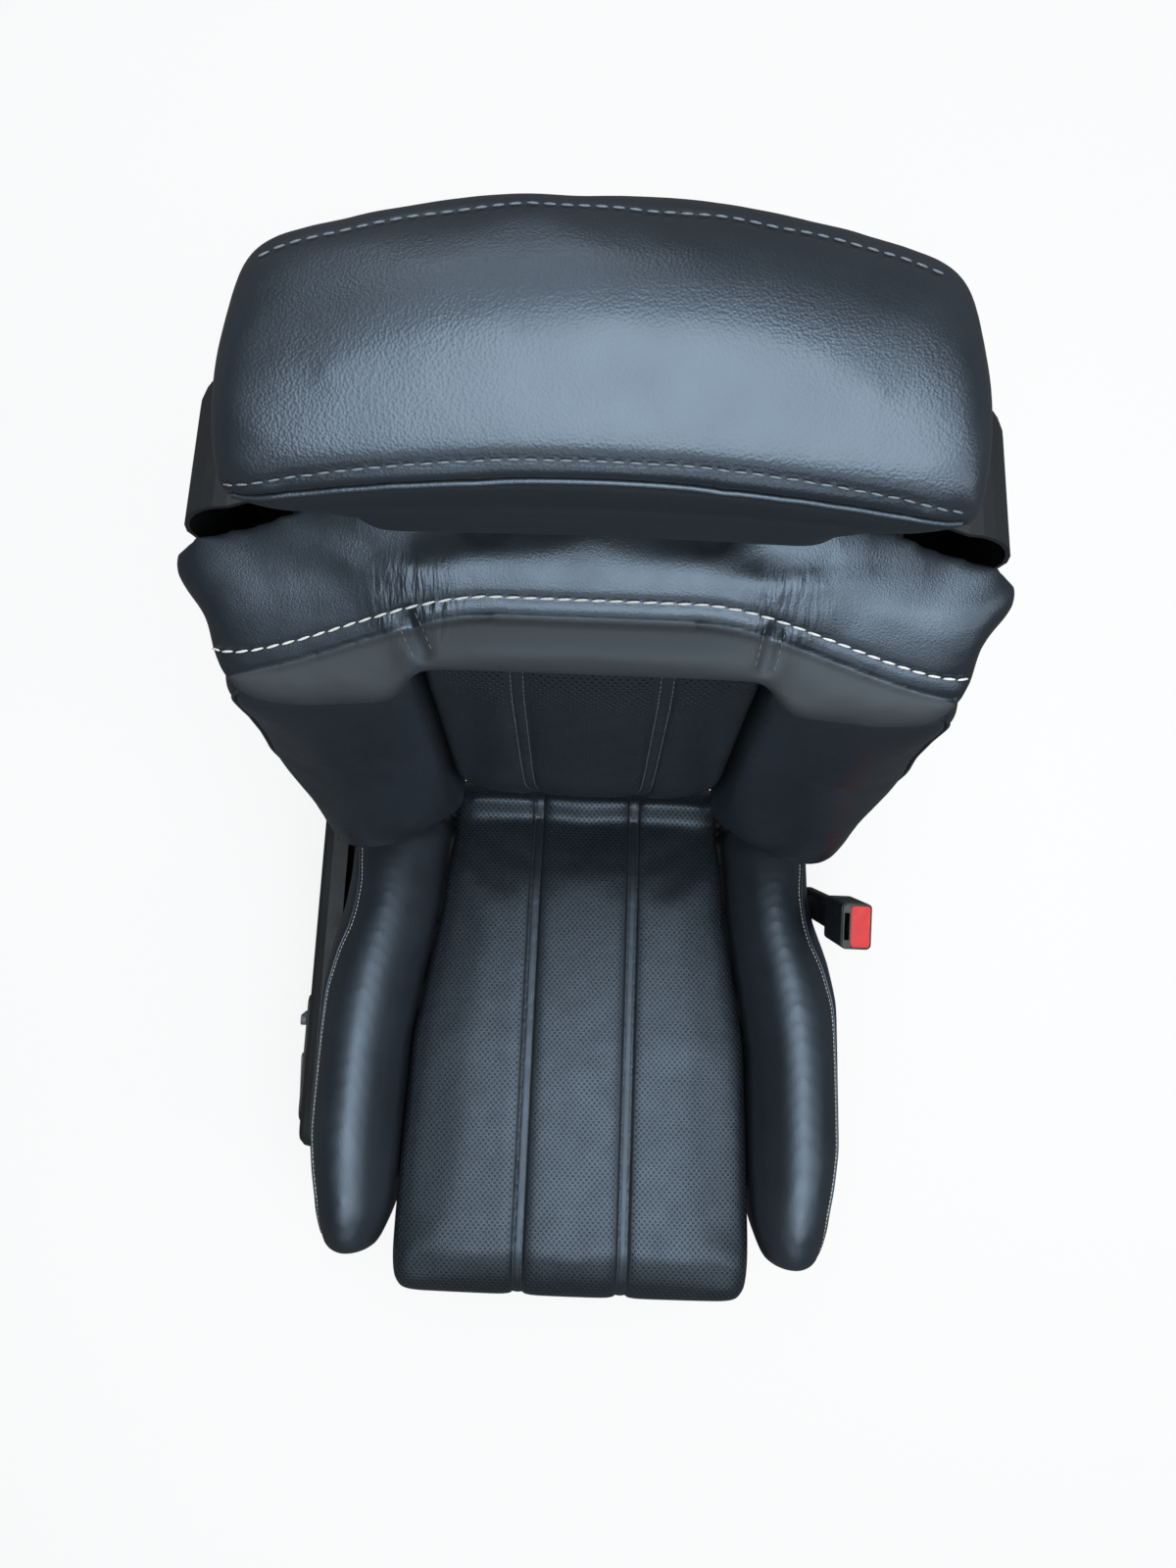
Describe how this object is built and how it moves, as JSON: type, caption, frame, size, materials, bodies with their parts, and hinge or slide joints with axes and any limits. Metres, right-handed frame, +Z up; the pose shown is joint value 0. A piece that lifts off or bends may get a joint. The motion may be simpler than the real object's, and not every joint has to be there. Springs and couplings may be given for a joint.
{
  "type": "car seat",
  "caption": "Leather front seat with deep side bolsters on powered rails, with height linkage, reclining back, tilting shoulder section, sliding headrest and belt buckle.",
  "frame": {"origin": "centre of the four floor bolts, on the floor plane under the feet", "axes": "+Z up from the floor, -Y the way the seat faces, +X the inboard side with the belt buckle"},
  "size_m": [0.5883, 0.7743, 1.0576],
  "materials": {
    "leather_smooth": "fine-grained black leather, satin",
    "leather_perforated": "black leather with a staggered field of small holes",
    "frame_paint": "black dip-coated pressed steel",
    "zinc_steel": "zinc-plated steel",
    "spring_wire": "oil-tempered spring wire",
    "black_plastic": "black grained injection-moulded plastic",
    "motor_black": "black painted motor case",
    "glide_plastic": "ivory sliding plastic",
    "post_chrome": "polished chrome",
    "red_button": "glossy red plastic",
    "switch_satin": "satin dark grey plastic",
    "thread_white": "white contrast sewing thread",
    "thread_grey": "grey sewing thread"
  },
  "bodies": {
    "floor": {"lower_rail_left": "frame_paint", "lower_rail_right": "frame_paint", "rail_feet": "frame_paint", "track_screws": "zinc_steel"},
    "carriage": {"upper_rail_left": "zinc_steel", "upper_rail_right": "zinc_steel", "rail_glides": "glide_plastic", "link_brackets": "frame_paint", "carriage_cross_bar": "frame_paint", "rail_gearboxes": "black_plastic", "track_motor": "motor_black", "track_drive_shafts": "zinc_steel"},
    "front_lift": {"front_torque_tube": "frame_paint", "front_lift_arms": "zinc_steel"},
    "rear_lift": {"rear_torque_tube": "frame_paint", "rear_lift_arms": "zinc_steel"},
    "cushion": {"cushion_side_left": "frame_paint", "cushion_side_right": "frame_paint", "cushion_pan": "frame_paint", "rear_cross_tube": "frame_paint", "cushion_springs": "spring_wire", "lift_pivot_pins": "zinc_steel", "recliner_bases": "zinc_steel", "height_motor": "motor_black", "cushion_panel": "leather_perforated", "cushion_bolster_left": "leather_smooth", "cushion_bolster_right": "leather_smooth", "outer_valance": "black_plastic", "switch_panel": "black_plastic", "inner_valance": "black_plastic", "buckle_anchor": "zinc_steel"},
    "backrest": {"back_side_left": "frame_paint", "back_side_right": "frame_paint", "back_lower_cross": "frame_paint", "back_upper_cross": "frame_paint", "back_wires": "spring_wire", "recliner_rotors": "zinc_steel", "recliner_shaft": "zinc_steel", "recline_motor": "motor_black", "airbag_module": "black_plastic", "back_panel_pad": "leather_perforated", "back_bolster_left": "leather_smooth", "back_bolster_right": "leather_smooth", "back_shell": "black_plastic"},
    "shoulder": {"shoulder_carrier": "frame_paint", "shoulder_hinge_pins": "zinc_steel", "shoulder_pad": "leather_smooth", "guide_sleeve_left": "black_plastic", "guide_sleeve_right": "black_plastic"},
    "headrest_button": {"headrest_release_button": "black_plastic"},
    "headrest": {"headrest_posts": "post_chrome", "headrest_base": "black_plastic", "headrest_pad": "leather_smooth"},
    "buckle": {"buckle_stalk": "zinc_steel", "buckle_sheath": "black_plastic", "buckle_housing": "black_plastic"},
    "buckle_button": {"buckle_button": "red_button"},
    "seat_switch": {"seat_switch": "switch_satin"},
    "recline_switch": {"recline_switch": "switch_satin"}
  },
  "joints": [
    {"name": "track_slide", "type": "slide", "parent": "floor", "child": "carriage", "axis": [0, -1, 0], "range_m": [-0.11, 0.11]},
    {"name": "rear_lift_turn", "type": "hinge", "parent": "carriage", "child": "rear_lift", "pos_m": [0, 0.1, 0.062], "axis": [1, 0, 0], "range_deg": [0, 35]},
    {"name": "front_lift_turn", "type": "hinge", "parent": "carriage", "child": "front_lift", "pos_m": [0, -0.2, 0.062], "axis": [1, 0, 0], "range_deg": [0, 35]},
    {"name": "cushion_level", "type": "hinge", "parent": "rear_lift", "child": "cushion", "pos_m": [0, 0.16761, 0.08012], "axis": [1, 0, 0], "range_deg": [-35, 0]},
    {"name": "recline", "type": "hinge", "parent": "cushion", "child": "backrest", "pos_m": [0, 0.185, 0.185], "axis": [-1, 0, 0], "range_deg": [-10, 40]},
    {"name": "shoulder_tilt", "type": "hinge", "parent": "backrest", "child": "shoulder", "pos_m": [0, 0.32925, 0.68469], "axis": [1, 0, 0], "range_deg": [0, 6]},
    {"name": "headrest_height", "type": "slide", "parent": "shoulder", "child": "headrest", "axis": [0, 0.2588, 0.9659], "range_m": [-0.03, 0.03]},
    {"name": "headrest_release", "type": "slide", "parent": "shoulder", "child": "headrest_button", "axis": [-1, 0, 0], "range_m": [0, 0.0035], "stiffness_N_per_m": 600},
    {"name": "buckle_swing", "type": "hinge", "parent": "cushion", "child": "buckle", "pos_m": [0.261, 0.034, 0.104], "axis": [1, 0, 0], "range_deg": [-10, 5]},
    {"name": "buckle_release", "type": "slide", "parent": "buckle", "child": "buckle_button", "axis": [0, 0, -1], "range_m": [0, 0.004], "stiffness_N_per_m": 1200, "springref_m": -0.001},
    {"name": "seat_switch_slide", "type": "slide", "parent": "cushion", "child": "seat_switch", "axis": [0, -1, 0], "range_m": [-0.0025, 0.0025], "stiffness_N_per_m": 900},
    {"name": "recline_switch_rock", "type": "hinge", "parent": "cushion", "child": "recline_switch", "pos_m": [-0.3065, -0.118, 0.164], "axis": [1, 0, 0], "range_deg": [-6, 6], "stiffness_Nm_per_rad": 0.6}
  ],
  "couplings": [
    {"joint": "front_lift_turn", "follows": "rear_lift_turn", "ratio": 1},
    {"joint": "cushion_level", "follows": "rear_lift_turn", "ratio": -1}
  ]
}
